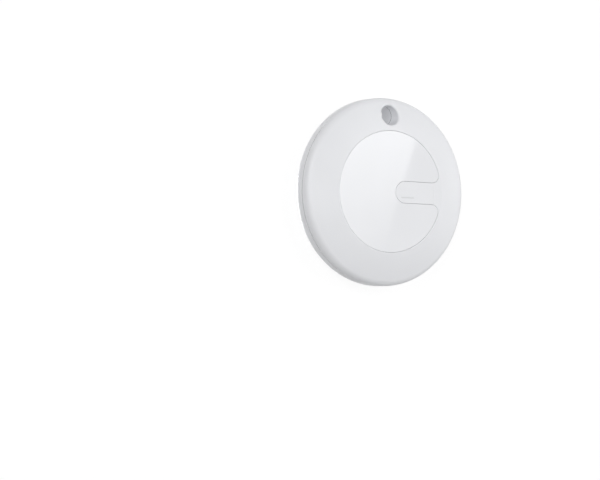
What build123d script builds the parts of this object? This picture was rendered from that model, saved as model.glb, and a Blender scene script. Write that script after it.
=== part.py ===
"""Bluetooth tracker tag: a round two-shell case with a lanyard hole, a press tongue and a coin cell.

The tag lies on its back. The origin is the centre of the flat back, +Z points out of the front,
+Y towards the lanyard hole and +X towards the root of the press tongue. Millimetres.

The case parts at mid height. The back cover carries the gasket and the cell pad. The front shell
carries the gloss inlay, the press tongue and the circuit board with all that is soldered to it.
"""

from build123d import *
from math import cos, radians, sin
import os

# --- Case, outside -------------------------------------------------------------------------------
body_diameter = 38.0
parting_height = 4.2  # where the two shells meet
parting_gap = 0.1
parting_round = 0.12  # softened edge of each shell along the seam
front_edge_radius = 1.5
front_dome_radius = 40.7  # the ring round the inlay falls away in a shallow dome
front_crown_slope = 11.0  # angle at which the dome starts beside the flat
front_slope = 19.0  # angle at which the dome runs into the edge radius
back_edge_radius = 2.0
back_dome_radius = 14.0
back_slope = 22.0

# --- Case, inside --------------------------------------------------------------------------------
wall = 1.1
side_wall = 1.3  # front shell beside the spigot
spigot_thickness = 0.9
spigot_height = 1.1
spigot_clearance = 0.1  # spigot to front shell, beside it and above it
chamber_corner = 2.6  # round where the chamber meets the lanyard tunnel
groove_depth = 0.45
groove_height = 0.5
gasket_clearance = 0.03
pry_width = 5.0
pry_height = 0.7
pry_depth = 0.8

# --- Lanyard tunnel ------------------------------------------------------------------------------
lanyard_radius = 2.0
lanyard_edge_distance = 3.6  # from the hole's centre to the tag's rim
lanyard_edge_round = 0.35
tunnel_wall = 1.25

# --- Gloss inlay and press tongue ----------------------------------------------------------------
inlay_margin = 0.2  # flat left outside the open line
inlay_thickness = 0.6
inlay_corner = 1.5
inlay_edge_round = 0.06
adhesive_thickness = 0.1
adhesive_inset = 0.15
reveal = 0.045  # open line round the inlay and round the tongue
floor_thickness = 0.7  # front shell under the inlay
floor_margin = 1.0
tongue_width = 4.36
tongue_tip = 1.2  # X of the tongue's free end
hinge_setback = 1.855  # from the inlay's edge to the tongue's root
hinge_web = 0.5
hinge_length = 0.9
hinge_gap = 0.01  # between the hinge and the shell
tongue_thickness = 1.1
tongue_edge_round = 0.06
nub_radius = 0.9
nub_clearance = 0.02
dash_length = 3.0
dash_width = 0.28
dash_depth = 0.08
dash_position = (4.05, -1.07)

# --- Membrane under the tongue -------------------------------------------------------------------
membrane_thickness = 0.1
membrane_margin = 1.0

# --- Circuit board -------------------------------------------------------------------------------
board_thickness = 0.6
board_clearance = 1.0
switch_room = 0.6  # board to the floor under the inlay
screw_edge_distance = 1.8  # from the screw to the board's edge
screw_angles = (-6.0, 63.0, 176.0)
screw_radius = 0.5
screw_length = 1.65
screw_head_radius = 1.0
screw_head_height = 0.45
screw_slot = 0.25
screw_clearance = 0.02
post_wall = 0.7

# --- Coin cell: 20 mm across, 3.2 mm high --------------------------------------------------------
cell_radius = 10.0
cell_height = 3.2
cell_sheet = 0.25
cell_cap_inset = 1.1  # cap to the can's side
cell_crimp = 0.35  # the can's rim below the cap's face
cell_can_round = 0.35
cell_cap_round = 0.2
cell_seal_foot = 0.2
cell_seal_lip = 0.25
cell_layer_clearance = 0.05
cathode_height = 1.6
separator_height = 0.1
pad_thickness = 0.2
pad_clearance = 0.02
pad_radius = 7.0
pad_edge = 0.1
cradle_width = 0.7
cradle_height = 0.5
holder_clearance = 0.15
holder_wall = 0.7
holder_margin = 0.2  # holder to the board's edge
holder_lip_gap = 0.3  # holder to the cradle rib
contact_room = 0.4  # cell to board
holder_window = 5.0  # width of the opening for the positive contact
holder_window_depth = 4.2
contact_sheet = 0.15
contact_clearance = 0.03
positive_width = 3.6
positive_foot = 1.4  # length on the board
leaf_spread = 0.4  # how far the leaf's ends stand off the can
negative_length = 12.0
negative_width = 3.0
negative_pitch = 8.0
negative_dimple = 0.9
finger_width = 2.0
finger_length = 2.6  # beside the dimple
finger_slot = 0.2

# --- Parts soldered to the board -----------------------------------------------------------------
switch_length = 4.0
switch_width = 3.0
switch_height = 0.35
switch_corner = 0.4
switch_floor = 0.05
switch_leg_width = 0.5
switch_leg_length = 0.4  # beyond the body
switch_leg_height = 0.12
plunger_radius = 0.9
plunger_gap = 0.03  # plunger to membrane
plunger_height = 0.2
plunger_clearance = 0.04
chip_size = 4.0
chip_height = 0.85
chip_edge = 0.08
chip_angle = 29.0
crystal_angle = 8.0
crystal_length = 2.0
crystal_width = 1.6
crystal_height = 0.5
crystal_corner = 0.2
crystal_base = 0.2  # ceramic base under the metal lid
crystal_rim = 0.08
antenna_edge_distance = 1.5  # from its middle to the board's edge
antenna_angle = 49.0
antenna_length = 3.2
antenna_width = 1.6
antenna_height = 0.9
buzzer_angle = 128.0
buzzer_margin = 0.35  # to the holder and the board's edge
buzzer_height = 2.9
buzzer_wall = 0.6
buzzer_well = 0.8
buzzer_disc_thickness = 0.25
buzzer_disc_clearance = 0.02
capacitor_edge_distance = 0.9  # from its middle to the board's edge
capacitor_angles = (-16.0, -21.0, -26.0, -31.0, -36.0)
capacitor_length = 1.0
capacitor_width = 0.5
capacitor_height = 0.5

# --- Heights, stacked from the back --------------------------------------------------------------
cell_bottom = wall + pad_thickness + pad_clearance
cell_top = cell_bottom + cell_height
board_bottom = cell_top + contact_room
board_top = board_bottom + board_thickness
ceiling = board_top + switch_room  # underside of the floor under the inlay
recess_floor = ceiling + floor_thickness
recess_depth = adhesive_thickness + inlay_thickness
body_height = recess_floor + recess_depth
cover_top = parting_height - parting_gap
channel_top = cover_top + spigot_height + spigot_clearance
groove_bottom = cover_top + (spigot_height - groove_height) / 2
holder_foot = wall + cradle_height + holder_lip_gap
membrane_bottom = ceiling - membrane_thickness
plunger_top = membrane_bottom - plunger_gap
back_dome_rise = back_dome_radius * (1 - cos(radians(back_slope)))
back_wall_bottom = back_dome_rise + back_edge_radius * cos(radians(back_slope))
front_dome_drop = front_dome_radius * (cos(radians(front_crown_slope)) - cos(radians(front_slope)))
front_wall_top = body_height - front_dome_drop - front_edge_radius * cos(radians(front_slope))

# --- Radii and places seen from the front --------------------------------------------------------
body_radius = body_diameter / 2
front_dome_width = front_dome_radius * (sin(radians(front_slope)) - sin(radians(front_crown_slope)))
front_flat_radius = body_radius - front_edge_radius * (1 - sin(radians(front_slope))) - front_dome_width
back_dome_width = back_dome_radius * sin(radians(back_slope))
back_flat_radius = body_radius - back_edge_radius * (1 - sin(radians(back_slope))) - back_dome_width
chamber_inset = spigot_clearance + spigot_thickness
chamber_radius = body_radius - side_wall - chamber_inset
board_radius = chamber_radius - board_clearance
screw_circle = board_radius - screw_edge_distance
lanyard_offset = body_radius - lanyard_edge_distance
inlay_radius = front_flat_radius - reveal - inlay_margin
hinge_position = inlay_radius - hinge_setback
tongue_half = tongue_width / 2
tip_centre = tongue_tip + tongue_half
cell_cap_radius = cell_radius - cell_cap_inset
holder_inner = cell_radius + holder_clearance
holder_outer = holder_inner + holder_wall
cell_offset = holder_outer + holder_margin - board_radius  # Y of the cell's centre

upright = (Align.CENTER, Align.CENTER, Align.MIN)
rightwards = (Align.MIN, Align.CENTER)
leftwards = (Align.MAX, Align.CENTER)


def body_section(inset):
    """Half section of the closed case, moved inwards by inset."""
    front_centre = (body_radius - front_edge_radius, front_wall_top)
    back_centre = (body_radius - back_edge_radius, back_wall_bottom)
    front_dome_centre = (
        front_flat_radius - front_dome_radius * sin(radians(front_crown_slope)),
        body_height - front_dome_radius * cos(radians(front_crown_slope)),
    )
    back_dome_centre = (back_flat_radius, back_dome_radius)
    front_turn, back_turn = 90 - front_slope, back_slope - 90
    crown_turn = front_slope - front_crown_slope
    with BuildSketch(Plane.XZ) as section:
        with BuildLine():
            front_dome = CenterArc(front_dome_centre, front_dome_radius - inset, front_turn, crown_turn)
            front_edge = CenterArc(front_centre, front_edge_radius - inset, 0, front_turn)
            back_edge = CenterArc(back_centre, back_edge_radius - inset, 0, back_turn)
            back_dome = CenterArc(back_dome_centre, back_dome_radius - inset, back_turn, -back_slope)
            Line(front_edge @ 0, back_edge @ 0)
            crown_point = front_dome @ 1
            Polyline(back_dome @ 1, (0, inset), (0, crown_point.Y), crown_point)
        make_face()
    return section.sketch


def chamber_outline(inset):
    """Room inside the case seen from the front, clear of the lanyard tunnel, moved inwards by inset."""
    with BuildSketch() as outline:
        Circle(body_radius - side_wall - inset)
        with Locations((0, lanyard_offset)):
            Circle(lanyard_radius + tunnel_wall + inset, mode=Mode.SUBTRACT)
        fillet(outline.vertices().group_by(Axis.Y)[-1], chamber_corner - inset)
    return outline.sketch


def chamber(bottom, top):
    """The room for the works between two heights, one wall thickness inside the case."""
    with BuildPart() as room:
        revolve(body_section(wall), axis=Axis.Z)
        with BuildSketch(Plane.XY.offset(bottom)):
            add(chamber_outline(chamber_inset))
        extrude(amount=top - bottom, mode=Mode.INTERSECT)
    return room.part


def tongue_outline(margin):
    """The press tongue seen from the front, round at its free end, grown by margin."""
    with BuildSketch() as outline:
        with Locations((tip_centre, 0)):
            Circle(tongue_half + margin)
            Rectangle(hinge_position - tip_centre, tongue_width + 2 * margin, align=rightwards)
    return outline.sketch


def inlay_outline(margin):
    """The gloss inlay seen from the front: a disc with a slot for the tongue, grown by margin."""
    slot_half = tongue_half + reveal - margin
    with BuildSketch() as outline:
        Circle(inlay_radius + margin)
        with Locations((tip_centre, 0)):
            Circle(slot_half, mode=Mode.SUBTRACT)
            Rectangle(inlay_radius * 2, slot_half * 2, align=rightwards, mode=Mode.SUBTRACT)
        fillet(outline.vertices().group_by(Axis.X)[-1], inlay_corner + margin)
    return outline.sketch


def tunnel_edges(shell):
    """Closed edges that run round the lanyard tunnel's bore, the lowest first."""
    return (
        shell.edges()
        .filter_by(lambda edge: abs(edge.bounding_box().size.X - 2 * lanyard_radius) < 0.01)
        .filter_by(lambda edge: abs(edge.bounding_box().center().Y - lanyard_offset) < 0.1)
        .sort_by(Axis.Z)
    )


def polar_place(distance, angle):
    """Point at a distance from the tag's centre."""
    return distance * cos(radians(angle)), distance * sin(radians(angle))


def screw_places():
    """Where the board screws stand."""
    return [polar_place(screw_circle, angle) for angle in screw_angles]


def board_plane(distance, angle):
    """Plane on the board's rear at a distance from the tag's centre, turned to face outwards."""
    return Plane(Location((*polar_place(distance, angle), board_bottom), (0, 0, angle)))


def free_circle(angle):
    """Distance from the tag's centre, and radius, of the largest circle beside the holder on the board."""
    both = holder_outer + board_radius
    distance = (both**2 - cell_offset**2) / 2 / (both - cell_offset * sin(radians(angle)))
    return distance, board_radius - distance


def keep(piece, name):
    """Labels a finished piece and writes it to its own file."""
    piece.part.label = name
    export_step(piece.part, f"parts/{name}.step")


os.makedirs("parts", exist_ok=True)

# --- Back cover: lower shell with a spigot that plugs into the front shell ---------------------------
with BuildPart() as back_cover:
    revolve(body_section(0), axis=Axis.Z)
    split(bisect_by=Plane.XY.offset(cover_top), keep=Keep.BOTTOM)
    seam_edge = back_cover.faces().sort_by(Axis.Z)[-1].edges()
    fillet(seam_edge, parting_round)
    add(chamber(0, cover_top), mode=Mode.SUBTRACT)
    with BuildSketch(Plane.XY.offset(cover_top)):
        add(chamber_outline(spigot_clearance))
        add(chamber_outline(chamber_inset), mode=Mode.SUBTRACT)
    extrude(amount=spigot_height)
    # gasket groove round the outside of the spigot
    with BuildSketch(Plane.XY.offset(groove_bottom)):
        add(chamber_outline(0))
        add(chamber_outline(spigot_clearance + groove_depth), mode=Mode.SUBTRACT)
    extrude(amount=groove_height, mode=Mode.SUBTRACT)
    # cradle rib round the cell
    with BuildSketch(Plane.XY.offset(wall)):
        with Locations((0, cell_offset)):
            Circle(cell_radius + holder_clearance + cradle_width)
            Circle(cell_radius + holder_clearance, mode=Mode.SUBTRACT)
    extrude(amount=cradle_height)
    # notch for a coin edge, on the side away from the seam's show side
    with BuildSketch(Plane.YZ.offset(body_radius - pry_depth)):
        with Locations((0, cover_top)):
            Rectangle(pry_width, pry_height, align=(Align.CENTER, Align.MAX))
    extrude(amount=pry_depth * 2, mode=Mode.SUBTRACT)
    with Locations((0, lanyard_offset)):
        Cylinder(lanyard_radius, body_height, align=upright, mode=Mode.SUBTRACT)
    tunnel_mouth = tunnel_edges(back_cover)[0]
    fillet(tunnel_mouth, lanyard_edge_round)
keep(back_cover, "back_cover")

# --- Main gasket: a moulded ring in the spigot's groove ----------------------------------------------
with BuildPart() as main_gasket:
    with BuildSketch(Plane.XY.offset(groove_bottom + gasket_clearance)):
        add(chamber_outline(gasket_clearance))
        add(chamber_outline(spigot_clearance + groove_depth - gasket_clearance), mode=Mode.SUBTRACT)
    extrude(amount=groove_height - 2 * gasket_clearance)
keep(main_gasket, "main_gasket")

# --- Cell pad: foam that presses the cell against its contact --------------------------------------
with BuildPart() as cell_pad:
    with BuildSketch(Plane.XY.offset(wall)):
        with Locations((0, cell_offset)):
            Circle(pad_radius)
    extrude(amount=pad_thickness)
    chamfer(cell_pad.edges().group_by(Axis.Z)[-1], pad_edge)
keep(cell_pad, "cell_pad")

# --- Front shell: upper shell with the inlay's recess, the tongue's slot and the screw posts ----------
with BuildPart() as front_shell:
    revolve(body_section(0), axis=Axis.Z)
    split(bisect_by=Plane.XY.offset(parting_height), keep=Keep.TOP)
    seam_edge = front_shell.faces().sort_by(Axis.Z)[0].edges()
    fillet(seam_edge, parting_round)
    with BuildSketch(Plane.XY.offset(parting_height)):
        add(chamber_outline(0))
    extrude(amount=channel_top - parting_height, mode=Mode.SUBTRACT)
    add(chamber(channel_top, body_height), mode=Mode.SUBTRACT)
    # thicker floor under the inlay
    with BuildSketch(Plane.XY.offset(ceiling)):
        Circle(inlay_radius + reveal + floor_margin)
    extrude(amount=body_height - wall - ceiling)
    # posts for the board screws
    with BuildSketch(Plane.XY.offset(board_top)):
        with Locations(screw_places()):
            Circle(screw_radius + post_wall)
    extrude(amount=ceiling + wall / 2 - board_top)
    with BuildSketch(Plane.XY.offset(board_top)):
        with Locations(screw_places()):
            Circle(screw_radius + screw_clearance)
    extrude(amount=screw_length - board_thickness + screw_clearance, mode=Mode.SUBTRACT)
    # recess for the inlay, and the slot that frees the tongue
    with BuildSketch(Plane.XY.offset(recess_floor)):
        add(inlay_outline(reveal))
    extrude(amount=recess_depth, mode=Mode.SUBTRACT)
    with BuildSketch(Plane.XY.offset(ceiling)):
        add(tongue_outline(reveal))
    extrude(amount=recess_floor - ceiling, mode=Mode.SUBTRACT)
    with BuildSketch(Plane.XY.offset(ceiling)):
        add(tongue_outline(0))
    extrude(amount=body_height - ceiling, mode=Mode.SUBTRACT)
    with Locations((0, lanyard_offset)):
        Cylinder(lanyard_radius, body_height, align=upright, mode=Mode.SUBTRACT)
    tunnel_mouth = tunnel_edges(front_shell)[-1]
    fillet(tunnel_mouth, lanyard_edge_round)
keep(front_shell, "front_shell")

# --- Gloss inlay: a clear-coated disc, slotted for the tongue, on a film of adhesive -----------------
with BuildPart() as front_inlay:
    with BuildSketch(Plane.XY.offset(recess_floor + adhesive_thickness)):
        add(inlay_outline(0))
    extrude(amount=inlay_thickness)
    fillet(front_inlay.edges().group_by(Axis.Z)[-1], inlay_edge_round)
keep(front_inlay, "front_inlay")

with BuildPart() as inlay_adhesive:
    with BuildSketch(Plane.XY.offset(recess_floor)):
        add(inlay_outline(-adhesive_inset))
    extrude(amount=adhesive_thickness)
keep(inlay_adhesive, "inlay_adhesive")

# --- Press tongue: thick paddle on a thin hinge, with a nub that reaches the switch ------------------
with BuildPart() as press_tongue:
    with BuildSketch(Plane.XY.offset(body_height - tongue_thickness)):
        add(tongue_outline(0))
    extrude(amount=tongue_thickness)
    # the hinge: most of the thickness is taken away from below, close to the root
    with BuildSketch(Plane.XY.offset(body_height - tongue_thickness)):
        with Locations((hinge_position, 0)):
            Rectangle(hinge_length, tongue_width, align=leftwards)
    extrude(amount=tongue_thickness - hinge_web, mode=Mode.SUBTRACT)
    with BuildSketch(Plane.XY.offset(body_height - tongue_thickness)):
        with Locations((hinge_position, 0)):
            Rectangle(hinge_gap, tongue_width, align=leftwards)
    extrude(amount=tongue_thickness, mode=Mode.SUBTRACT)
    top_edges = press_tongue.edges().group_by(Axis.Z)[-1]
    fillet(top_edges.filter_by_position(Axis.X, 0, hinge_position - hinge_length), tongue_edge_round)
    # the nub
    with BuildSketch(Plane.XY.offset(ceiling + nub_clearance)):
        with Locations((tip_centre, 0)):
            Circle(nub_radius)
    extrude(amount=body_height - tongue_thickness - ceiling - nub_clearance)
    # short finger mark, sunk beside the centre line
    with BuildSketch(Plane.XY.offset(body_height - dash_depth)):
        with Locations(dash_position):
            SlotOverall(dash_length, dash_width)
    extrude(amount=dash_depth, mode=Mode.SUBTRACT)
keep(press_tongue, "press_tongue")

# --- Membrane: thin rubber skin that closes the slot under the tongue ---------------------------------
with BuildPart() as button_membrane:
    with BuildSketch(Plane.XY.offset(membrane_bottom)):
        add(tongue_outline(reveal + membrane_margin))
    extrude(amount=membrane_thickness)
keep(button_membrane, "button_membrane")

# --- Circuit board and its screws ---------------------------------------------------------------------
with BuildPart() as circuit_board:
    with BuildSketch(Plane.XY.offset(board_bottom)):
        add(chamber_outline(chamber_inset + board_clearance))
        with Locations(screw_places()):
            Circle(screw_radius + screw_clearance, mode=Mode.SUBTRACT)
    extrude(amount=board_thickness)
keep(circuit_board, "circuit_board")

for number, place in enumerate(screw_places(), 1):
    with BuildPart() as screw:
        with Locations(place):
            with Locations((0, 0, board_bottom - screw_head_height)):
                Cylinder(screw_head_radius, screw_head_height, align=upright)
            with Locations((0, 0, board_bottom)):
                Cylinder(screw_radius, screw_length, align=upright)
        chamfer(screw.edges().group_by(Axis.Z)[-1], screw_radius / 2)
        fillet(screw.edges().group_by(Axis.Z)[0], screw_head_height / 2)
        # cross recess
        with BuildSketch(Plane.XY.offset(board_bottom - screw_head_height)):
            with Locations(place):
                Rectangle(screw_head_radius, screw_slot)
                Rectangle(screw_slot, screw_head_radius)
        extrude(amount=screw_head_height / 2, mode=Mode.SUBTRACT)
    keep(screw, f"board_screw_{number}")

# --- Coin cell, cap towards the board: can, seal ring, cathode, separator, anode and cap --------------
cell_axis = Axis((0, cell_offset, 0), (0, 0, 1))
cell_plane = Plane(origin=(0, cell_offset, cell_bottom), x_dir=(1, 0, 0), z_dir=(0, -1, 0))
seal_outer = cell_radius - cell_sheet
seal_inner = cell_cap_radius - cell_sheet - cell_seal_lip
cap_inner = cell_cap_radius - cell_sheet
crimp_height = cell_height - cell_crimp

with BuildPart() as cell_can:
    with BuildSketch(cell_plane):
        with BuildLine():
            Polyline(
                (0, 0),
                (cell_radius, 0),
                (cell_radius, crimp_height),
                (seal_outer, crimp_height),
                (seal_outer, cell_sheet),
                (0, cell_sheet),
                close=True,
            )
        make_face()
    revolve(axis=cell_axis)
    fillet(cell_can.edges().group_by(Axis.Z)[0], cell_can_round)
keep(cell_can, "cell_can")

with BuildPart() as cell_seal:
    with BuildSketch(cell_plane):
        with BuildLine():
            Polyline(
                (seal_inner, cell_sheet),
                (seal_outer, cell_sheet),
                (seal_outer, crimp_height),
                (cell_cap_radius, crimp_height),
                (cell_cap_radius, cell_sheet + cell_seal_foot),
                (seal_inner, cell_sheet + cell_seal_foot),
                close=True,
            )
        make_face()
    revolve(axis=cell_axis)
keep(cell_seal, "cell_seal")

with BuildPart() as cell_cap:
    with BuildSketch(cell_plane):
        with BuildLine():
            Polyline(
                (0, cell_height - cell_sheet),
                (cap_inner, cell_height - cell_sheet),
                (cap_inner, cell_sheet + cell_seal_foot),
                (cell_cap_radius, cell_sheet + cell_seal_foot),
                (cell_cap_radius, cell_height),
                (0, cell_height),
                close=True,
            )
        make_face()
    revolve(axis=cell_axis)
    fillet(cell_cap.edges().group_by(Axis.Z)[-1], cell_cap_round)
keep(cell_cap, "cell_cap")

separator_bottom = cell_bottom + cell_sheet + cathode_height
anode_bottom = separator_bottom + separator_height
cathode_radius = seal_inner - cell_layer_clearance
anode_radius = cap_inner - cell_layer_clearance
cell_layers = {
    "cell_cathode": (cathode_radius, cell_bottom + cell_sheet, separator_bottom),
    "cell_separator": (anode_radius, separator_bottom, anode_bottom),
    "cell_anode": (anode_radius, anode_bottom, cell_top - cell_sheet),
}
for layer_name, (layer_radius, layer_bottom, layer_top) in cell_layers.items():
    with BuildPart() as layer:
        with BuildSketch(Plane.XY.offset(layer_bottom)):
            with Locations((0, cell_offset)):
                Circle(layer_radius)
        extrude(amount=layer_top - layer_bottom)
    keep(layer, layer_name)

# --- Cell holder: ring on the board, open where the positive contact reaches the can ------------------
with BuildPart() as cell_holder:
    with BuildSketch(Plane.XY.offset(holder_foot)):
        with Locations((0, cell_offset)):
            Circle(holder_outer)
            Circle(holder_inner, mode=Mode.SUBTRACT)
    extrude(amount=board_bottom - holder_foot)
    chamfer(cell_holder.edges().group_by(Axis.Z)[0], holder_wall / 4)
    with BuildSketch(Plane.XY.offset(holder_foot)):
        with Locations((-holder_outer, cell_offset)):
            Rectangle(holder_window_depth, holder_window)
    extrude(amount=board_bottom - holder_foot, mode=Mode.SUBTRACT)
keep(cell_holder, "cell_holder")

# --- Positive contact: foot on the board and a leaf that bears on the can's side ----------------------
leaf_line = -(cell_radius + contact_clearance + contact_sheet / 2)
with BuildPart() as positive_contact:
    with BuildSketch(Plane.XZ.offset(-cell_offset + positive_width / 2)):
        with BuildLine():
            Polyline(
                (leaf_line - positive_foot, board_bottom - contact_sheet / 2),
                (leaf_line - leaf_spread, board_bottom - contact_sheet / 2),
                (leaf_line, cell_top - cell_crimp * 2),
                (leaf_line, cell_bottom + cell_height / 2),
                (leaf_line - leaf_spread, holder_foot),
            )
            offset(amount=contact_sheet / 2, side=Side.BOTH)
        make_face()
    extrude(amount=-positive_width)
keep(positive_contact, "positive_contact")

# --- Negative contact: plate on the board with two sprung fingers on the cap -------------------------
with BuildPart() as negative_contact:
    with BuildSketch(Plane.XY.offset(board_bottom - contact_sheet)):
        with Locations((0, cell_offset)):
            Rectangle(negative_length, negative_width)
            # slots that free a finger round each dimple
            with GridLocations(negative_pitch, finger_width + finger_slot, 2, 2):
                Rectangle(finger_length, finger_slot, mode=Mode.SUBTRACT)
    extrude(amount=contact_sheet)
    with BuildSketch(Plane.XY.offset(cell_top + contact_clearance)):
        with Locations((0, cell_offset)):
            with Locations((-negative_pitch / 2, 0), (negative_pitch / 2, 0)):
                Circle(negative_dimple)
    extrude(amount=board_bottom - contact_sheet - cell_top - contact_clearance)
    fillet(negative_contact.edges().group_by(Axis.Z)[0], contact_sheet / 2)
keep(negative_contact, "negative_contact")

# --- Tact switch under the tongue: body with a round well, and the plunger in it ---------------------
with BuildPart() as switch_body:
    with BuildSketch(Plane.XY.offset(board_top)):
        with Locations((tip_centre, 0)):
            Rectangle(switch_length, switch_width)
    extrude(amount=switch_height)
    chamfer(switch_body.edges().filter_by(Axis.Z), switch_corner)
    # four soldered legs
    with BuildSketch(Plane.XY.offset(board_top)):
        with Locations((tip_centre, 0)):
            with GridLocations(switch_length, switch_width - 2 * switch_corner - switch_leg_width, 2, 2):
                Rectangle(switch_leg_length * 2, switch_leg_width)
    extrude(amount=switch_leg_height)
    with BuildSketch(Plane.XY.offset(board_top + switch_floor)):
        with Locations((tip_centre, 0)):
            Circle(plunger_radius + plunger_clearance)
    extrude(amount=switch_height, mode=Mode.SUBTRACT)
keep(switch_body, "switch_body")

with BuildPart() as switch_plunger:
    with BuildSketch(Plane.XY.offset(plunger_top - plunger_height)):
        with Locations((tip_centre, 0)):
            Circle(plunger_radius)
    extrude(amount=plunger_height)
    fillet(switch_plunger.edges().group_by(Axis.Z)[-1], plunger_height / 3)
keep(switch_plunger, "switch_plunger")

# --- Radio chip, crystal, antenna, capacitors and buzzer, all on the board's rear --------------------
with BuildPart() as radio_chip:
    with BuildSketch(board_plane(free_circle(chip_angle)[0], chip_angle)):
        Rectangle(chip_size, chip_size)
    extrude(amount=-chip_height)
    chamfer(radio_chip.edges().group_by(Axis.Z)[0], chip_edge)
keep(radio_chip, "radio_chip")

with BuildPart() as crystal:
    with BuildSketch(board_plane(free_circle(crystal_angle)[0], crystal_angle)):
        Rectangle(crystal_width, crystal_length)
    extrude(amount=-crystal_base)
    with BuildSketch(board_plane(free_circle(crystal_angle)[0], crystal_angle)):
        RectangleRounded(crystal_width - 2 * crystal_rim, crystal_length - 2 * crystal_rim, crystal_corner)
    extrude(amount=-crystal_height)
keep(crystal, "crystal")

with BuildPart() as chip_antenna:
    with BuildSketch(board_plane(board_radius - antenna_edge_distance, antenna_angle)):
        Rectangle(antenna_width, antenna_length)
    extrude(amount=-antenna_height)
keep(chip_antenna, "chip_antenna")

for number, angle in enumerate(capacitor_angles, 1):
    with BuildPart() as capacitor:
        with BuildSketch(board_plane(board_radius - capacitor_edge_distance, angle)):
            Rectangle(capacitor_length, capacitor_width)
        extrude(amount=-capacitor_height)
    keep(capacitor, f"capacitor_{number}")

# --- Buzzer: round case, open towards the back, with the sounding disc in its mouth ------------------
buzzer_distance, buzzer_room = free_circle(buzzer_angle)
buzzer_radius = buzzer_room - buzzer_margin
buzzer_plane = board_plane(buzzer_distance, buzzer_angle)

with BuildPart() as buzzer_case:
    with BuildSketch(buzzer_plane):
        Circle(buzzer_radius)
    extrude(amount=-buzzer_height)
    with BuildSketch(buzzer_plane.offset(-buzzer_height)):
        Circle(buzzer_radius - buzzer_wall)
    extrude(amount=buzzer_well, mode=Mode.SUBTRACT)
    chamfer(buzzer_case.edges().group_by(Axis.Z)[0], buzzer_wall / 4)
keep(buzzer_case, "buzzer_case")

with BuildPart() as buzzer_disc:
    with BuildSketch(buzzer_plane.offset(buzzer_well - buzzer_height)):
        Circle(buzzer_radius - buzzer_wall - buzzer_disc_clearance)
    extrude(amount=-buzzer_disc_thickness)
keep(buzzer_disc, "buzzer_disc")
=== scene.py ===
"""Looks of the tracker tag: camera, studio, finishes and fine details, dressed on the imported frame."""

import math

import bmesh
import bpy
from mathutils import Matrix, Vector


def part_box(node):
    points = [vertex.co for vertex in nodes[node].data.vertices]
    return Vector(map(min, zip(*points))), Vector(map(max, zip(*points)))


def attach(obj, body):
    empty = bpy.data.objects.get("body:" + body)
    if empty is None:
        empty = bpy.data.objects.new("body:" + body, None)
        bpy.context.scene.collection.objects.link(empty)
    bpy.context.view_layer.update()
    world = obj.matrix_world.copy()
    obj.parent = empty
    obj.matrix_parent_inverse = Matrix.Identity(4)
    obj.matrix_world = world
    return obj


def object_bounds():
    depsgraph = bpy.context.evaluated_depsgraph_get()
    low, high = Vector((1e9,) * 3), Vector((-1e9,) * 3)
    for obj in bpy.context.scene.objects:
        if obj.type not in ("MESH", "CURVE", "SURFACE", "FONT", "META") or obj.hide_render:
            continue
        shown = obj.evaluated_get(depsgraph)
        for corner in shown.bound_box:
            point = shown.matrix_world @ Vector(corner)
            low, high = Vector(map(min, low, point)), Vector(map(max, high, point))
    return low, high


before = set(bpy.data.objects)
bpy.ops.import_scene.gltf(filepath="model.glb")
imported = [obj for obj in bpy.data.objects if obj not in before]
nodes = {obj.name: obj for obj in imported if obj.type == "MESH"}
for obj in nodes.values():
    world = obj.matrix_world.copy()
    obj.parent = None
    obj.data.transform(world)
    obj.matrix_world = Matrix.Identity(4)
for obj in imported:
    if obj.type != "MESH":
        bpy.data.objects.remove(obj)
cad_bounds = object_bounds()
MM = 0.001


# --- Small tools -------------------------------------------------------------------------------------
def linear(hex_colour):
    """sRGB hex text as a linear RGBA tuple."""
    parts = [int(hex_colour[i : i + 2], 16) / 255 for i in (1, 3, 5)]
    return tuple(c / 12.92 if c <= 0.04045 else ((c + 0.055) / 1.055) ** 2.4 for c in parts) + (1.0,)


def add_node(tree, kind, links=None, **settings):
    """Adds a node, sets its properties or input values by name, and links its inputs."""
    node = tree.nodes.new(kind)
    for key, value in settings.items():
        if hasattr(node, key):
            setattr(node, key, value)
        else:
            node.inputs[key.replace("_", " ")].default_value = value
    for name, source in (links or {}).items():
        tree.links.new(source, node.inputs[name])
    return node


def new_material(name):
    """An empty node material with its output node."""
    material = bpy.data.materials.new(name)
    material.use_nodes = True
    material.node_tree.nodes.clear()
    output = material.node_tree.nodes.new("ShaderNodeOutputMaterial")
    return material, material.node_tree, output


def dress(material, *names):
    """Gives CAD nodes a finish."""
    for name in names:
        slots = nodes[name].data.materials
        slots.clear()
        slots.append(material)


def middle(node):
    """Centre of a CAD node."""
    low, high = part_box(node)
    return (Vector(low) + Vector(high)) / 2


# --- Finishes ----------------------------------------------------------------------------------------
GRAIN_DEPTH = 0.02 * MM  # spark-eroded grain, and the like
GRAIN_GLOSS = (0.9, 1.1)  # the grain's roughness, as shares of the plastic's
DRIFT_SIZE = 9 * MM  # slow drift in the tone of moulded plastic
DRIFT_TONE = 0.985
DRIFT_RANGE = (0.35, 0.65)
POLISH_GLOSS = (-0.07, 0.07)  # unevenness in a metal's roughness
RING_DEPTH = 0.01 * MM  # turned rings in sheet metal
RING_GLOSS = (-0.06, 0.08)
RING_RELIEF = 0.15
RINGS_PER_UNIT = 20  # of a wave texture whose scale is 1


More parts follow.
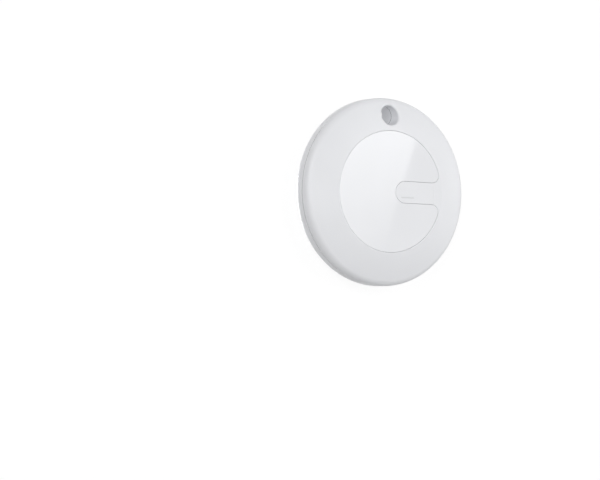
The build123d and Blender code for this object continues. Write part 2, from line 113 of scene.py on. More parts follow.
def moulded_plastic(name, colour, roughness, grain_mm, bump, ior=1.53):
    """Moulded plastic: even colour with a fine spark-eroded grain that breaks up the highlight."""
    material, tree, output = new_material(name)
    place = add_node(tree, "ShaderNodeTexCoord").outputs["Object"]
    grain = add_node(tree, "ShaderNodeTexNoise", {"Vector": place}, Scale=1 / (grain_mm * MM), Detail=2.0)
    drift = add_node(tree, "ShaderNodeTexNoise", {"Vector": place}, Scale=1 / DRIFT_SIZE, Detail=1.0)
    full = linear(colour)
    low = (*(Vector(full[:3]) * DRIFT_TONE), 1.0)
    tone = add_node(tree, "ShaderNodeValToRGB", {"Fac": drift.outputs["Fac"]})
    for stop, position, shade in zip(tone.color_ramp.elements, DRIFT_RANGE, (low, full)):
        stop.position, stop.color = position, shade
    gloss = add_node(
        tree,
        "ShaderNodeMapRange",
        {"Value": grain.outputs["Fac"]},
        To_Min=roughness * GRAIN_GLOSS[0],
        To_Max=roughness * GRAIN_GLOSS[1],
    )
    height = grain.outputs["Fac"]
    relief = add_node(tree, "ShaderNodeBump", {"Height": height}, Strength=bump, Distance=GRAIN_DEPTH)
    surface = add_node(
        tree,
        "ShaderNodeBsdfPrincipled",
        {
            "Base Color": tone.outputs["Color"],
            "Roughness": gloss.outputs["Result"],
            "Normal": relief.outputs["Normal"],
        },
        IOR=ior,
    )
    tree.links.new(surface.outputs["BSDF"], output.inputs["Surface"])
    return material


def plain_metal(name, colour, roughness, grain_mm):
    """Plated or rolled metal with a faint unevenness in its polish."""
    material, tree, output = new_material(name)
    place = add_node(tree, "ShaderNodeTexCoord").outputs["Object"]
    grain = add_node(tree, "ShaderNodeTexNoise", {"Vector": place}, Scale=1 / (grain_mm * MM), Detail=3.0)
    gloss = add_node(
        tree,
        "ShaderNodeMapRange",
        {"Value": grain.outputs["Fac"]},
        To_Min=roughness + POLISH_GLOSS[0],
        To_Max=roughness + POLISH_GLOSS[1],
    )
    surface = add_node(
        tree,
        "ShaderNodeBsdfPrincipled",
        {"Roughness": gloss.outputs["Result"]},
        Base_Color=linear(colour),
        Metallic=1.0,
    )
    tree.links.new(surface.outputs["BSDF"], output.inputs["Surface"])
    return material


def spun_metal(name, colour, roughness, pitch_mm, centre):
    """Drawn and spun sheet metal: fine rings round the centre that pull the highlight into a fan."""
    material, tree, output = new_material(name)
    place = add_node(tree, "ShaderNodeTexCoord").outputs["Object"]
    centred = add_node(tree, "ShaderNodeMapping", {"Vector": place}, Location=(-centre.x, -centre.y, 0))
    rings = add_node(
        tree,
        "ShaderNodeTexWave",
        {"Vector": centred.outputs["Vector"]},
        wave_type="RINGS",
        rings_direction="Z",
        Scale=1 / (pitch_mm * MM) / RINGS_PER_UNIT,
        Distortion=2.0,
        Detail=3.0,
        Detail_Scale=6.0,
    )
    gloss = add_node(
        tree,
        "ShaderNodeMapRange",
        {"Value": rings.outputs["Fac"]},
        To_Min=roughness + RING_GLOSS[0],
        To_Max=roughness + RING_GLOSS[1],
    )
    height = rings.outputs["Fac"]
    relief = add_node(tree, "ShaderNodeBump", {"Height": height}, Strength=RING_RELIEF, Distance=RING_DEPTH)
    surface = add_node(
        tree,
        "ShaderNodeBsdfPrincipled",
        {"Roughness": gloss.outputs["Result"], "Normal": relief.outputs["Normal"]},
        Base_Color=linear(colour),
        Metallic=1.0,
    )
    tree.links.new(surface.outputs["BSDF"], output.inputs["Surface"])
    return material


# Spark-eroded ABS of the case: matte, cool white.
case_abs = moulded_plastic("spark_eroded_abs", "#EDEEF1", 0.36, 0.22, 0.9)
# Back-painted polycarbonate of the inlay: white under a clear glossy face.
inlay_gloss = moulded_plastic("back_painted_polycarbonate", "#F2F3F6", 0.03, 1.5, 0.0, ior=1.58)
# Silicone of the gasket: near black, dull and soft. The strips of painted shade in the joint between the
# shells take the same finish.
silicone_and_seam_shade = moulded_plastic("silicone_gasket_and_seam_shade", "#2A2B2D", 0.6, 0.2, 0.2, ior=1.41)
# Silicone film under the tongue: milky.
membrane_silicone = moulded_plastic("thin_silicone", "#D9DBDB", 0.5, 0.3, 0.2, ior=1.41)
# Foam pad that holds the cell: black and without shine.
pad_foam = moulded_plastic("closed_cell_foam", "#26272A", 0.9, 0.25, 1.0, ior=1.45)
# Adhesive film under the inlay: faintly yellow.
film_adhesive = moulded_plastic("acrylic_adhesive", "#DEDCD4", 0.35, 0.8, 0.3, ior=1.47)
# Glass-epoxy board under its green solder mask: satin, deep green where the copper is a plain sheet.
board_laminate = moulded_plastic("solder_masked_laminate", "#0E5532", 0.3, 0.6, 0.15, ior=1.55)
# The same mask over a raised copper track, where it is thinner and looks paler.
masked_track = moulded_plastic("masked_copper_track", "#1F7A4E", 0.26, 0.6, 0.1, ior=1.55)
# Glass-filled nylon of the cell holder, plunger and buzzer case: black, a little rough.
black_nylon = moulded_plastic("glass_filled_nylon", "#1B1C1E", 0.45, 0.15, 0.5)
# Moulded epoxy of the chip: black and matte.
chip_epoxy = moulded_plastic("moulded_epoxy", "#17181A", 0.5, 0.1, 0.4)
# Ceramics: tan in the capacitors, white in the antenna and the buzzer.
fired_ceramic = moulded_plastic("fired_ceramic", "#B89A78", 0.4, 0.1, 0.3, ior=1.7)
antenna_ceramic = moulded_plastic("white_ceramic", "#DCE3E0", 0.35, 0.1, 0.3, ior=1.7)
# Polypropylene ring that seals the cell: cloudy white.
cell_ring = moulded_plastic("polypropylene", "#D5D2C8", 0.45, 0.3, 0.2, ior=1.49)
# Metals: plated screws, sprung contacts, tinned lids, solder, gold flash and fired silver.
plated_steel = plain_metal("nickel_plated_steel", "#C9C8C4", 0.28, 0.4)
bronze = plain_metal("gold_flashed_bronze", "#D8B56A", 0.25, 0.3)
tin = plain_metal("tinned_steel", "#BFC1C3", 0.35, 0.2)
solder = plain_metal("reflowed_solder", "#C6C8CA", 0.22, 0.25)
gold_flash = plain_metal("gold_flashed_copper", "#E0B85C", 0.22, 0.3)
silver_ink = plain_metal("fired_silver", "#D6D6D2", 0.42, 0.15)
# Drawn nickel steel of the cell: fine rings that fan the highlight.
cell_steel = spun_metal("spun_nickel_steel", "#C9C8C4", 0.26, 0.35, middle("cell_can"))
# Grey fill in the sunk mark: a shade greyer than the case, and satin.
mark_fill = moulded_plastic("grey_mark_fill", "#DFE0E2", 0.5, 0.2, 0.3)
# Laser mark on moulded epoxy: the resin shows paler and drier where it was burnt.
laser_mark = moulded_plastic("laser_marked_epoxy", "#6B6D70", 0.7, 0.1, 0.2)

dress(case_abs, "front_shell", "back_cover", "press_tongue")
dress(inlay_gloss, "front_inlay")
dress(film_adhesive, "inlay_adhesive")
dress(membrane_silicone, "button_membrane")
dress(silicone_and_seam_shade, "main_gasket")
dress(pad_foam, "cell_pad")
dress(board_laminate, "circuit_board")
dress(plated_steel, "board_screw_1", "board_screw_2", "board_screw_3")
dress(cell_steel, "cell_can", "cell_cap")
dress(cell_ring, "cell_seal", "cell_separator")
dress(black_nylon, "cell_holder", "switch_plunger", "buzzer_case")
dress(bronze, "positive_contact", "negative_contact", "buzzer_disc")
dress(tin, "switch_body", "crystal", "cell_anode")
dress(chip_epoxy, "radio_chip", "cell_cathode")
dress(antenna_ceramic, "chip_antenna")
dress(fired_ceramic, *[name for name in nodes if name.startswith("capacitor")])


# --- Fine details: painted shade strips in the joint, a grey mark fill, solder, tracks and plating ---
BOARD_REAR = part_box("circuit_board")[0][2]  # heights of the board's faces, in metres
BOARD_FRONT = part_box("circuit_board")[1][2]

# Sizes below are in mm, angles in degrees.
BOARD_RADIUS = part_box("circuit_board")[1][0] / MM
HOLE_PLACE = (0.0, 15.4)  # middle of the lanyard hole
HOLE_RADIUS = 2.0
JOINT_GAP = 0.1  # open joint between the shells
# Near-black strips of painted shade in the open joint, which darken the seam line.
SEAM_SHADE_HEIGHT = 0.09
SEAM_SHADE_DEPTH = 0.30
SEAM_SHADE_SETBACK = 0.07  # behind the case's side
SEAM_SHADE_STEPS = 240
NOTCH_HALF_ANGLE = 8
MARK_PLACE = (4.05, -1.07)  # sunk mark on the tongue
MARK_SIZE = (2.96, 0.25)
MARK_DEPTH = 0.08
FILL_THICKNESS = 0.02
FILL_LIFT = 0.002  # above the floor of the mark
PAD = 0.03  # thickness of a pad
ROUND = 0.98  # share of the half width that makes a block a disc
TRACK_BEND = 0.35  # size of a track's slanted corner
TRACK_STEP = 3  # angle between points on a lane
TRACK_HEIGHT = 0.03
TRACK_SINK = 0.4  # share of a track's height from the board's face out to its middle
TRACK_WIDTH = 0.18
LANE_PITCH = 0.4
FEED_WIDTH = 0.4
EDGE_VIA_STEP = 6
EDGE_VIA_RING = BOARD_RADIUS - 0.25
BAY_ANGLE, BAY_HALF_ANGLE = 90, 24  # the board's bay for the lanyard tunnel
POINT_ANGLES = range(196, 218, 5)  # test points, and the vias where their tracks go through the board
POINT_RING = BOARD_RADIUS - 1.2
POINT_VIA_RING = BOARD_RADIUS - 2.0
RETURN_ANGLES = range(224, 244, 4)  # vias where the test points' tracks come back
RETURN_RING = 8.4
CAPACITOR_RING = BOARD_RADIUS - 1.6  # where the capacitors' tracks end

# Blocks. A negative height goes down, away from the board's rear.
BLOCK_SIZES = ("Length", "Width", "Corner", "Height")
CAPACITOR_END = (0.24, 0.52, 0.05, -0.51)
CAPACITOR_PAD = (0.4, 0.62, 0.1, -PAD)
CHIP_LEAD = (0.34, 0.2, 0.05, -PAD)
CHIP_DOT = (0.4, 0.4, 0.2 * ROUND, -0.01)
CRYSTAL_PAD = (0.55, 0.55, 0.08, -PAD)
ANTENNA_END = (1.62, 0.42, 0.05, -0.91)
ANTENNA_PAD = (1.8, 0.5, 0.1, -PAD)
SWITCH_PAD = (0.7, 0.8, 0.1, PAD)
NEGATIVE_JOINT = (0.7, 2.2, 0.3, -0.18)
POSITIVE_JOINT = (0.6, 2.8, 0.25, -0.18)
EDGE_VIA = (0.24, 0.24, 0.12 * ROUND, -PAD)
TRACK_VIA = (0.3, 0.3, 0.15 * ROUND, -PAD * 1.3)
TEST_POINT = (1.0, 1.0, 0.5 * ROUND, -PAD)


def open_tree(name, sizes):
    """A Geometry Nodes tree with named inputs for its sizes and its finish, and those inputs' sockets."""
    tree = bpy.data.node_groups.new(name, "GeometryNodeTree")
    tree.interface.new_socket("Geometry", in_out="INPUT", socket_type="NodeSocketGeometry")
    for size in sizes:
        tree.interface.new_socket(size, in_out="INPUT", socket_type="NodeSocketFloat")
    tree.interface.new_socket("Finish", in_out="INPUT", socket_type="NodeSocketMaterial")
    tree.interface.new_socket("Geometry", in_out="OUTPUT", socket_type="NodeSocketGeometry")
    return tree, tree.nodes.new("NodeGroupInput").outputs


def close_tree(tree, given, geometry):
    """Realizes what the tree made, gives it its finish and hands it out."""
    solid = add_node(tree, "GeometryNodeRealizeInstances", {"Geometry": geometry})
    finished = add_node(
        tree,
        "GeometryNodeSetMaterial",
        {"Geometry": solid.outputs["Geometry"], "Material": given["Finish"]},
    )
    add_node(tree, "NodeGroupOutput", {"Geometry": finished.outputs["Geometry"]})
    return tree


def block_tree():
    """Geometry Nodes: a flat block with round corners at every point, turned by the point's own angle."""
    tree, given = open_tree("blocks_at_points", BLOCK_SIZES)
    outline = add_node(
        tree,
        "GeometryNodeCurvePrimitiveQuadrilateral",
        {"Width": given["Length"], "Height": given["Width"]},
    )
    rounded = add_node(
        tree,
        "GeometryNodeFilletCurve",
        {"Curve": outline.outputs["Curve"], "Radius": given["Corner"]},
        mode="POLY",
        Count=5,
    )
    face = add_node(tree, "GeometryNodeFillCurve", {"Curve": rounded.outputs["Curve"]}, mode="NGONS")
    raised = add_node(
        tree,
        "GeometryNodeExtrudeMesh",
        {"Mesh": face.outputs["Mesh"], "Offset Scale": given["Height"]},
        mode="FACES",
    )
    under = add_node(tree, "GeometryNodeFlipFaces", {"Mesh": face.outputs["Mesh"]})
    both = tree.nodes.new("GeometryNodeJoinGeometry")
    for part in (under, raised):
        tree.links.new(part.outputs["Mesh"], both.inputs["Geometry"])
    closed = add_node(
        tree, "GeometryNodeMergeByDistance", {"Geometry": both.outputs["Geometry"]}, Distance=0.001 * MM
    )
    turn = add_node(tree, "GeometryNodeInputNamedAttribute", data_type="FLOAT", Name="turn")
    rotation = add_node(tree, "ShaderNodeCombineXYZ", {"Z": turn.outputs["Attribute"]})
    placed = add_node(
        tree,
        "GeometryNodeInstanceOnPoints",
        {
            "Points": given["Geometry"],
            "Instance": closed.outputs["Geometry"],
            "Rotation": rotation.outputs["Vector"],
        },
    )
    return close_tree(tree, given, placed.outputs["Instances"])


def track_tree():
    """Geometry Nodes: a flat strip along every line."""
    tree, given = open_tree("strips_on_lines", ("Width", "Height"))
    line = add_node(tree, "GeometryNodeMeshToCurve", {"Mesh": given["Geometry"]})
    level = add_node(tree, "GeometryNodeSetCurveNormal", {"Curve": line.outputs["Curve"]}, mode="Z_UP")
    section = add_node(
        tree,
        "GeometryNodeCurvePrimitiveQuadrilateral",
        {"Width": given["Width"], "Height": given["Height"]},
    )
    strip = add_node(
        tree,
        "GeometryNodeCurveToMesh",
        {"Curve": level.outputs["Curve"], "Profile Curve": section.outputs["Curve"]},
        Fill_Caps=True,
    )
    return close_tree(tree, given, strip.outputs["Mesh"])


BLOCKS = block_tree()
STRIPS = track_tree()


def finish_piece(name, mesh, body):
    """Turns a mesh's faces outwards, makes it a piece and hangs it on its body."""
    shape = bmesh.new()
    shape.from_mesh(mesh)
    bmesh.ops.recalc_face_normals(shape, faces=shape.faces)
    shape.to_mesh(mesh)
    shape.free()
    piece = bpy.data.objects.new(name, mesh)
    bpy.context.scene.collection.objects.link(piece)
    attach(piece, body)


def grow(name, seed, tree, sizes, material, body):
    """Grows a tree with sizes in mm on a seed mesh and keeps the result as a plain piece."""
    seeds = bpy.data.objects.new(name, seed)
    bpy.context.scene.collection.objects.link(seeds)
    modifier = seeds.modifiers.new("tree", "NODES")
    modifier.node_group = tree
    sockets = {item.name: item.identifier for item in tree.interface.items_tree if item.in_out == "INPUT"}
    for key, value in sizes.items():
        modifier[sockets[key]] = value * MM
    modifier[sockets["Finish"]] = material
    depsgraph = bpy.context.evaluated_depsgraph_get()
    mesh = bpy.data.meshes.new_from_object(seeds.evaluated_get(depsgraph), depsgraph=depsgraph)
    bpy.data.objects.remove(seeds)
    finish_piece(name, mesh, body)


def blocks(name, places, size, material, body="front"):
    """Equal blocks at (x, y, z, turn) places; size is length, width, corner and height in mm."""
    points = bpy.data.meshes.new(name)
    points.from_pydata([place[:3] for place in places], [], [])
    turns = points.attributes.new("turn", "FLOAT", "POINT")
    turns.data.foreach_set("value", [place[3] for place in places])
    grow(name, points, BLOCKS, dict(zip(BLOCK_SIZES, size)), material, body)


def ring_place(distance, angle, level):
    """Place at a distance in mm and an angle from the tag's centre, turned to face outwards."""
    turn = math.radians(angle)
    return distance * MM * math.cos(turn), distance * MM * math.sin(turn), level, turn


def ring_places(distance, angles, level):
    """Places on a circle round the tag's centre."""
    return [ring_place(distance, angle, level) for angle in angles]


def track(start, start_angle, lane, end_angle, end):
    """Points of one copper track: in or out to its lane, along the lane, and in or out to its end, in mm."""
    way = 1 if end_angle > start_angle else -1
    bend = math.degrees(TRACK_BEND / lane) * way
    first, last = start_angle + bend, end_angle - bend
    steps = max(2, round(abs(last - first) / TRACK_STEP))
    arc = [(lane, first + (last - first) * step / steps) for step in range(steps + 1)]
    leave = lane + math.copysign(TRACK_BEND, start - lane)
    arrive = lane + math.copysign(TRACK_BEND, end - lane)
    return [(start, start_angle), (leave, start_angle), *arc, (arrive, end_angle), (end, end_angle)]


def lay_tracks(name, tracks, width):
    """Masked copper tracks on the rear of the board."""
    level = BOARD_REAR - TRACK_SINK * TRACK_HEIGHT * MM
    points, edges = [], []
    for line in tracks:
        edges += [(len(points) + step, len(points) + step + 1) for step in range(len(line) - 1)]
        points += [ring_place(distance, angle, level)[:3] for distance, angle in line]
    lines = bpy.data.meshes.new(name)
    lines.from_pydata(points, edges, [])
    sizes = {"Width": width, "Height": TRACK_HEIGHT}
    grow(name, lines, STRIPS, sizes, masked_track, "front")


def seam_shade_strip(name, centre, inner, outer, start, end):
    """Thin near-black strip in the open joint between the shells, painted shade that darkens the seam line,
    from one angle to another round a centre.
    """
    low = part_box("front_shell")[0][2] / MM - JOINT_GAP
    high = low + SEAM_SHADE_HEIGHT
    corners = [(inner, low), (outer, low), (outer, high), (inner, high)]
    closed = end - start == 360
    steps = SEAM_SHADE_STEPS if closed else SEAM_SHADE_STEPS + 1
    turns = [math.radians(start + (end - start) * step / SEAM_SHADE_STEPS) for step in range(steps)]
    verts = [
        Vector((centre[0] + distance * math.cos(turn), centre[1] + distance * math.sin(turn), level)) * MM
        for turn in turns
        for distance, level in corners
    ]
    faces = []
    for step in range(SEAM_SHADE_STEPS):
        here, there = 4 * step, 4 * ((step + 1) % steps)
        faces += [(here + i, here + (i + 1) % 4, there + (i + 1) % 4, there + i) for i in range(4)]
    if not closed:
        last = 4 * (steps - 1)
        faces += [(3, 2, 1, 0), (last, last + 1, last + 2, last + 3)]
    mesh = bpy.data.meshes.new(name)
    mesh.from_pydata(verts, [], faces)
    mesh.materials.append(silicone_and_seam_shade)
    finish_piece(name, mesh, "back")


def shade_seam():
    """Strips of painted shade in the joint: along the rim, open at the pry notch, and round the lanyard
    hole.
    """
    rim = cad_bounds[1].x / MM
    seam_shade_strip("rim_seam_shade", (0, 0), rim - SEAM_SHADE_DEPTH, rim - SEAM_SHADE_SETBACK, NOTCH_HALF_ANGLE, 360 - NOTCH_HALF_ANGLE)
    seam_shade_strip("hole_seam_shade", HOLE_PLACE, HOLE_RADIUS, HOLE_RADIUS + SEAM_SHADE_DEPTH, 0, 360)


def beside(node, offsets, height=None, quarter=0):
    """Places at offsets (outwards, sideways) in mm from a node that faces away from the tag's centre."""
    centre = middle(node)
    turn = math.atan2(centre.y, centre.x)
    out = Vector((math.cos(turn), math.sin(turn)))
    side = Vector((-out.y, out.x))
    level = BOARD_REAR if height is None else height
    spots = [centre.xy + out * (u * MM) + side * (v * MM) for u, v in offsets]
    return [(*spot, level, turn + quarter * math.pi / 2) for spot in spots]


def solder_capacitors():
    """Tinned end caps on the capacitors, each on its pad."""
    names = [name for name in sorted(nodes) if name.startswith("capacitor")]
    ends = [place for name in names for place in beside(name, ((-0.39, 0), (0.39, 0)))]
    feet = [place for name in names for place in beside(name, ((-0.5, 0), (0.5, 0)))]
    blocks("capacitor_ends", ends, CAPACITOR_END, tin)
    blocks("capacitor_pads", feet, CAPACITOR_PAD, solder)


def solder_chip():
    """Leads on the four sides of the radio chip, and its first-lead mark."""
    rows = [(2.0, (lead - 4.5) * LANE_PITCH) for lead in range(10)]
    leads = []
    for quarter in range(4):
        turned = [(u, v) if quarter % 2 == 0 else (v, u) for u, v in rows]
        sign = 1 if quarter < 2 else -1
        leads += beside("radio_chip", [(u * sign, v * sign) for u, v in turned], quarter=quarter)
    blocks("chip_leads", leads, CHIP_LEAD, solder)
    dot = beside("radio_chip", ((-1.45, 1.45),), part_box("radio_chip")[0][2])
    blocks("chip_mark", dot, CHIP_DOT, laser_mark)


def solder_small_parts():
    """Pads under the crystal, antenna and switch, and silver ends on the antenna."""
    corners = [(u, v) for u in (-0.62, 0.62) for v in (-0.85, 0.85)]
    blocks("crystal_pads", beside("crystal", corners), CRYSTAL_PAD, solder)
    ends = beside("chip_antenna", ((0, -1.4), (0, 1.4)))
    blocks("antenna_ends", ends, ANTENNA_END, silver_ink)
    feet = beside("chip_antenna", ((0, -1.7), (0, 1.7)))
    blocks("antenna_pads", feet, ANTENNA_PAD, solder)
    low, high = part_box("switch_body")
    legs = [(x, y * 0.85 * MM, BOARD_FRONT, 0.0) for x in (low[0], high[0]) for y in (-1, 1)]
    blocks("switch_pads", legs, SWITCH_PAD, solder)


def solder_contacts():
    """Solder along the ends of both cell contacts."""
    low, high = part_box("negative_contact")
    y = middle("negative_contact").y
    ends = [(x, y, BOARD_REAR, 0.0) for x in (low[0], high[0])]
    blocks("negative_joints", ends, NEGATIVE_JOINT, solder)
    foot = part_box("positive_contact")[0][0]
    y = middle("positive_contact").y
    blocks("positive_joint", [(foot, y, BOARD_REAR, 0.0)], POSITIVE_JOINT, solder)


def plate_board():
    """Gold test points, and a row of small plated holes along the board's edge, clear of the lanyard bay."""
    row = [angle for angle in range(0, 360, EDGE_VIA_STEP) if abs(angle - BAY_ANGLE) > BAY_HALF_ANGLE]
    vias = ring_places(EDGE_VIA_RING, row, BOARD_REAR)
    blocks("edge_vias", vias, EDGE_VIA, gold_flash)
    points = ring_places(POINT_RING, POINT_ANGLES, BOARD_REAR)
    blocks("test_points", points, TEST_POINT, gold_flash)


def route_board():
    """Tracks from the chip to the capacitors, buzzer, antenna and test points, which go on through vias."""
    signals = []
    for lane in range(5):  # chip to capacitors
        step = LANE_PITCH * lane
        signals.append(track(14.0 - step, 20.0, 14.4 - step, -16.0 - 5 * lane, CAPACITOR_RING))
    for lane in range(4):  # buzzer to chip
        signals.append(track(12.0, 126.0 - 3 * lane, 9.6 + LANE_PITCH * lane, 40.0 + 2 * lane, 11.2))
    for lane, angle in enumerate(reversed(RETURN_ANGLES)):  # test points' returning vias to chip
        signals.append(track(RETURN_RING, angle, 9.0 + LANE_PITCH * lane, 391.0 - 2 * lane, 11.4))
    for angle in POINT_ANGLES:  # test points to their own vias
        signals.append([(POINT_RING, angle), (POINT_VIA_RING, angle)])
    lay_tracks("signal_tracks", signals, TRACK_WIDTH)
    lay_tracks("antenna_feed", [[(14.6, 36.5), (14.6, 39.0), (15.0, 42.5)]], FEED_WIDTH)
    vias = ring_places(POINT_VIA_RING, POINT_ANGLES, BOARD_REAR)
    vias += ring_places(RETURN_RING, RETURN_ANGLES, BOARD_REAR)
    blocks("track_vias", vias, TRACK_VIA, gold_flash)


def layer_buzzer():
    """Fired ceramic on the buzzer's brass disc, with a silver face."""
    low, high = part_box("buzzer_disc")
    centre = middle("buzzer_disc")
    disc = (high[0] - low[0]) / MM
    for name, share, thickness, material in (
        ("buzzer_ceramic", 0.66, 0.08, antenna_ceramic),
        ("buzzer_electrode", 0.58, 0.10, silver_ink),
    ):
        across = disc * share
        size = (across, across, across / 2 * ROUND, -thickness)
        blocks(name, [(centre.x, centre.y, low[2], 0.0)], size, material)


def fill_mark():
    """Pale grey fill in the sunk mark on the tongue, a shade darker than the case."""
    x, y = MARK_PLACE
    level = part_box("press_tongue")[1][2] - (MARK_DEPTH - FILL_LIFT) * MM
    length, width = MARK_SIZE
    size = (length, width, width / 2 * ROUND, FILL_THICKNESS)
    blocks("tongue_mark", [(x * MM, y * MM, level, 0.0)], size, mark_fill, "tongue")


# Painted shade: near-black strips that darken the seams.
shade_seam()
fill_mark()
solder_capacitors()
solder_chip()
solder_small_parts()
solder_contacts()
plate_board()
route_board()
layer_buzzer()


# --- Camera and studio, in metres and watts ----------------------------------------------------------
VIEW_FROM = Vector((-0.5280, -0.0408, 0.8483))  # from the tag towards the lens
VIEW_UP = Vector((-0.0225, 1.0, 0.0))
VIEW_DISTANCE = 0.6
VIEW_WIDTH = 0.1213  # width of the picture at the tag
TAG_PLACE = (0.01628, 0.00966)  # right of and above the middle of the picture
SENSOR = 36.0

AMBIENT = 0.236
WHITE = (1.0, 1.0, 1.0, 1.0)
FLOOR_SIZE = 4.0
FLOOR_LEVEL = -0.02 * MM
FLOOR_PAPER = (0.76, 0.76, 0.76, 1.0)  # what the tag gets back from the floor
FLOOR_SHADE = (0.18, 0.18, 0.18, 1.0)  # share of the seen floor that shows the shadow
FLOOR_GLOW = 0.86  # the rest of the seen floor

# The overhead box is mirrored in the inlay, where its straight edge crosses from top right to bottom left.
EDGE_TOP = Vector((5.9, 10.7)) * MM
EDGE_BOTTOM = Vector((-1.5, -11.3)) * MM
BOX_HEIGHT = 0.35
BOX_SIZE = (0.16, 0.30)
BOX_GLOW = (1.3, 3.4)  # towards the front and towards the back
BOX_SLOPE = Vector((-0.25, 1.0)).normalized()  # the way in which it gets brighter
GLOW_REACH = 0.018

LAMPS = (  # name, place, width, length and power of each soft box that faces the tag
    ("top_box", (-0.17, -0.03, 0.60), 0.14, 0.40, 0.62),
    ("lens_box", (-0.40, 0.10, 0.45), 0.30, 0.30, 0.53),
    ("back_left_box", (-0.36, 0.22, 0.42), 0.25, 0.25, 0.57),
    ("left_box", (-0.50, 0.12, 0.22), 0.40, 0.30, 0.05),
    ("right_box", (0.55, 0.05, 0.22), 0.40, 0.25, 0.56),
    ("back_right_box", (0.40, 0.25, 0.60), 0.25, 0.25, 0.35),
    ("low_box", (0.0, 0.0, -0.50), 0.15, 0.15, 0.75),  # reaches the back through the floor
)
HOLE_CARD = (3.2 * MM, 2.5e-6)  # side and power of a bright card on the floor under the lanyard hole
CARD_LEVEL = 0.03 * MM


def either(tree, one, other):
    """1 where one value or the other is."""
    return add_node(tree, "ShaderNodeMath", {0: one, 1: other}, operation="MAXIMUM").outputs[0]


def seen_directly(tree):
    """1 where the camera, a reflection or glass sees the surface, 0 for light that bounces off it."""
    path = add_node(tree, "ShaderNodeLightPath").outputs
    first = either(tree, path["Is Camera Ray"], path["Is Glossy Ray"])
    return either(tree, first, path["Is Transmission Ray"])


def make_world():
    """Even ambient light, and plain white where it is seen."""
    world = bpy.data.worlds.new("studio")
    bpy.context.scene.world = world
    world.use_nodes = True
    tree = world.node_tree
    tree.nodes.clear()
    ambient = add_node(tree, "ShaderNodeBackground", Color=WHITE, Strength=AMBIENT)
    white = add_node(tree, "ShaderNodeBackground", Color=WHITE, Strength=1.0)
    seen = seen_directly(tree)
    mix = add_node(tree, "ShaderNodeMixShader", {0: seen, 1: ambient.outputs[0], 2: white.outputs[0]})
    add_node(tree, "ShaderNodeOutputWorld", {"Surface": mix.outputs[0]})


def stage_sheet(name, corners, material):
    """A flat four-sided sheet that belongs to the studio."""
    mesh = bpy.data.meshes.new(name)
    mesh.from_pydata(corners, [], [(0, 1, 2, 3)])
    mesh.materials.append(material)
    sheet = bpy.data.objects.new(name, mesh)
    bpy.context.scene.collection.objects.link(sheet)
    return sheet


def make_floor():
    """Pale floor that shows white and keeps the tag's shadow. Clear from below and to the lamps."""
    material, tree, output = new_material("matte_paper")
    paper = add_node(tree, "ShaderNodeBsdfDiffuse", Color=FLOOR_PAPER)
    shade = add_node(tree, "ShaderNodeBsdfDiffuse", Color=FLOOR_SHADE)
    glow = add_node(tree, "ShaderNodeEmission", Color=WHITE, Strength=FLOOR_GLOW)
    lit = add_node(tree, "ShaderNodeAddShader", {0: shade.outputs[0], 1: glow.outputs[0]})
    seen = seen_directly(tree)
    above = add_node(tree, "ShaderNodeMixShader", {0: seen, 1: paper.outputs[0], 2: lit.outputs[0]})
    below = add_node(tree, "ShaderNodeNewGeometry").outputs["Backfacing"]
    to_lamp = add_node(tree, "ShaderNodeLightPath").outputs["Is Shadow Ray"]
    clear = either(tree, below, to_lamp)
    nothing = add_node(tree, "ShaderNodeBsdfTransparent", Color=WHITE)
    one_sided = add_node(tree, "ShaderNodeMixShader", {0: clear, 1: above.outputs[0], 2: nothing.outputs[0]})
    tree.links.new(one_sided.outputs[0], output.inputs["Surface"])
    half = FLOOR_SIZE / 2
    ways = ((-1, -1), (1, -1), (1, 1), (-1, 1))
    stage_sheet("floor", [(half * x, half * y, FLOOR_LEVEL) for x, y in ways], material)


def soft_box(name, place, width, length, power, target=(0.0, 0.0, 0.0)):
    """Rectangular lamp at a place, facing a target."""
    lamp = bpy.data.lights.new(name, "AREA")
    lamp.shape = "RECTANGLE"
    lamp.size, lamp.size_y = width, length
    lamp.energy = power
    box = bpy.data.objects.new(name, lamp)
    bpy.context.scene.collection.objects.link(box)
    facing = (Vector(place) - Vector(target)).to_track_quat("Z", "Y")
    box.matrix_world = Matrix.Translation(place) @ facing.to_matrix().to_4x4()
    box.visible_camera = False


def make_camera():
    """Long lens at the tag's own viewing angle, with the tag right of the middle."""
    low, high = cad_bounds
    back = VIEW_FROM.normalized()
    right = VIEW_UP.cross(back).normalized()
    up = back.cross(right)
    target = (low + high) / 2 - right * TAG_PLACE[0] - up * TAG_PLACE[1]
    data = bpy.data.cameras.new("camera")
    data.sensor_width = SENSOR
    data.lens = SENSOR * VIEW_DISTANCE / VIEW_WIDTH
    data.clip_start, data.clip_end = 0.01, 10
    camera = bpy.data.objects.new("camera", data)
    bpy.context.scene.collection.objects.link(camera)
    turned = Matrix((right, up, back)).transposed().to_4x4()
    camera.matrix_world = Matrix.Translation(target + back * VIEW_DISTANCE) @ turned
    bpy.context.scene.camera = camera


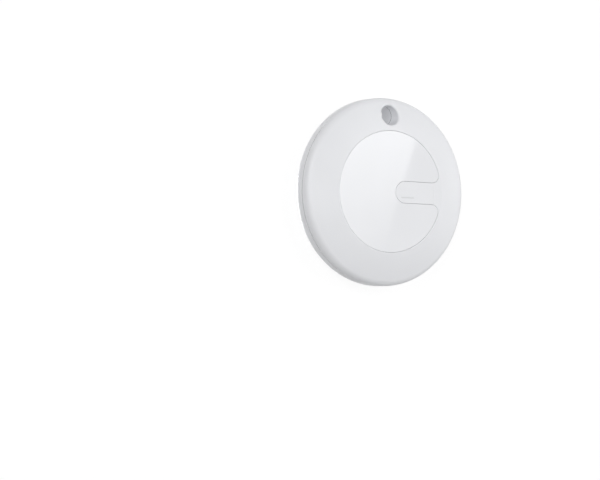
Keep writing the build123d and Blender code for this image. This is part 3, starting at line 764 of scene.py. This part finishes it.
def mirrored(point):
    """Where the lens sees the overhead plane, mirrored in a point of the inlay."""
    towards = bpy.context.scene.camera.matrix_world.translation - Vector((*point, cad_bounds[1].z))
    return point - Vector(towards[:2]) * (BOX_HEIGHT / towards.z)


def overhead_box():
    """Glowing sheet, brighter towards the back. Its right edge lies on the mirrored line."""
    top, bottom = mirrored(EDGE_TOP), mirrored(EDGE_BOTTOM)
    along = (top - bottom).normalized()
    across = Vector((-along.y, along.x))
    edge_middle = (top + bottom) / 2
    material, tree, output = new_material("glowing_sheet")
    place = add_node(tree, "ShaderNodeTexCoord").outputs["Object"]
    rise = add_node(tree, "ShaderNodeVectorMath", {0: place}, operation="DOT_PRODUCT")
    rise.inputs[1].default_value = (*BOX_SLOPE, 0)
    centre = edge_middle.dot(BOX_SLOPE)
    glow = add_node(
        tree,
        "ShaderNodeMapRange",
        {"Value": rise.outputs["Value"]},
        From_Min=centre - GLOW_REACH,
        From_Max=centre + GLOW_REACH,
        To_Min=BOX_GLOW[0],
        To_Max=BOX_GLOW[1],
    )
    light = add_node(tree, "ShaderNodeEmission", {"Strength": glow.outputs["Result"]}, Color=WHITE)
    tree.links.new(light.outputs[0], output.inputs["Surface"])
    height = BOX_HEIGHT + cad_bounds[1].z
    corners = [
        (*(edge_middle + along * (BOX_SIZE[1] * v) + across * (BOX_SIZE[0] * u)), height)
        for u, v in ((0, -0.5), (0, 0.5), (1, 0.5), (1, -0.5))
    ]
    sheet = stage_sheet("overhead_box", corners, material)
    sheet.visible_camera = sheet.visible_shadow = False


def make_lights():
    """Overhead box mirrored in the inlay, soft boxes all round, and a card under the lanyard hole."""
    overhead_box()
    for name, place, width, length, power in LAMPS:
        soft_box(name, place, width, length, power)
    side, power = HOLE_CARD
    hole_x, hole_y = (part * MM for part in HOLE_PLACE)
    soft_box("hole_card", (hole_x, hole_y, CARD_LEVEL), side, side, power, (hole_x, hole_y, 1.0))


make_world()
make_floor()
make_camera()
make_lights()
bpy.context.scene.view_settings.view_transform = "Standard"
